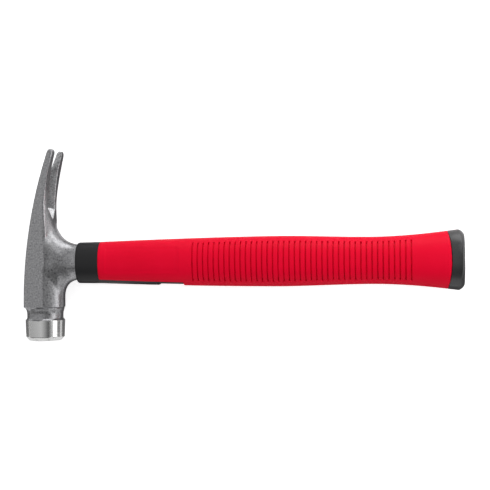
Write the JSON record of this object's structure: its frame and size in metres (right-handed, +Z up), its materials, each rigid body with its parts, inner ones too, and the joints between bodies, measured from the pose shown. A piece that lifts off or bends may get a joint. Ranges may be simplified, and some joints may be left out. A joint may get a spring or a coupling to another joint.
{
  "type": "electrician hammer",
  "caption": "Slim hammer with a forged steel head, long split claw, round striking ring and a red grooved soft-grip handle with black collar and butt cap.",
  "frame": {"origin": "below the middle of the outline, on the surface that the hammer lies on", "axes": "+X along the handle from head to butt, +Y from the handle to the claw tips, +Z up through the thickness"},
  "size_m": [0.3206, 0.1412, 0.029],
  "materials": {
    "forged_steel": "shot-blasted forging under clear lacquer, bright turned ring",
    "glass_fibre": "pultruded, satin",
    "eye_resin": "cast, semi-gloss",
    "dam_rubber": "matte",
    "jacket_plastic": "moulded, satin",
    "collar_plastic": "fine moulded texture, matte",
    "grip_red": "soft-touch, satin",
    "cap_plastic": "moulded, semi-gloss"
  },
  "bodies": {
    "root": {"head": "forged_steel", "core_rod": "glass_fibre", "eye_resin": "eye_resin", "resin_dam": "dam_rubber", "jacket": "jacket_plastic", "front_collar": "collar_plastic", "grip": "grip_red", "butt_cap": "cap_plastic"}
  },
  "joints": []
}
